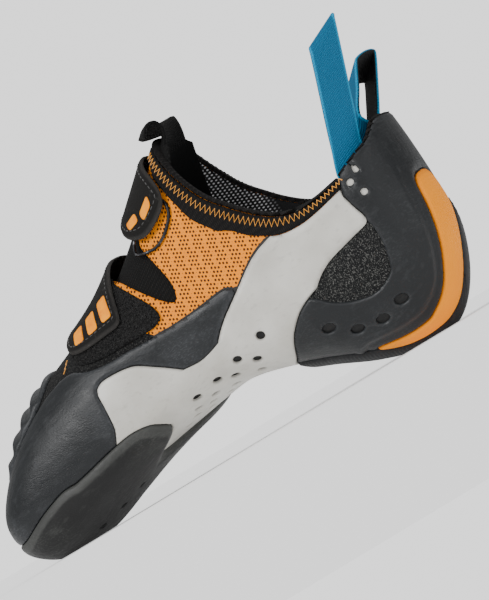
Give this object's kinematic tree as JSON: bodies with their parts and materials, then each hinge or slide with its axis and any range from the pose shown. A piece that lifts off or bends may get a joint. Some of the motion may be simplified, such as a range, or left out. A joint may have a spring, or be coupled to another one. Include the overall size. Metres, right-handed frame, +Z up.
{
  "type": "climbing shoe",
  "caption": "Downturned right climbing shoe with rubber rand, hook straps, tongue and heel pull loops.",
  "frame": {"origin": "on the floor under the middle of the shoe's box", "axes": "-X towards the toe, +X towards the heel, -Y the medial (big toe) side, +Z up"},
  "size_m": [0.2494, 0.0894, 0.1435],
  "materials": {
    "dark_rubber": "satin, lightly scuffed",
    "sole_rubber": "matt",
    "grey_rubber": "satin",
    "orange_rubber": "satin",
    "orange_mesh": "coated microfibre with small holes",
    "black_knit": "knitted",
    "black_pile": "looped pile",
    "black_webbing": "matt, coated",
    "teal_webbing": "woven",
    "pale_board": "pressed fibre",
    "dark_wire": "blackened"
  },
  "bodies": {
    "root": {"upper": "orange_mesh", "midsole": "pale_board", "insole": "black_knit", "tongue": "black_knit", "tongue_roll": "black_knit", "outsole_front": "sole_rubber", "heel_sole": "dark_rubber", "arch_band": "grey_rubber", "toe_rand": "dark_rubber", "toe_patch": "dark_rubber", "heel_cup": "dark_rubber", "heel_strip": "orange_rubber", "collar_binding_medial": "black_knit", "collar_binding_lateral": "black_knit", "pile_patch": "black_pile", "strap_upper": "black_webbing", "strap_lower": "black_webbing", "strap_ring": "dark_wire", "pull_loop_medial": "teal_webbing", "pull_loop_lateral": "teal_webbing"}
  },
  "joints": []
}
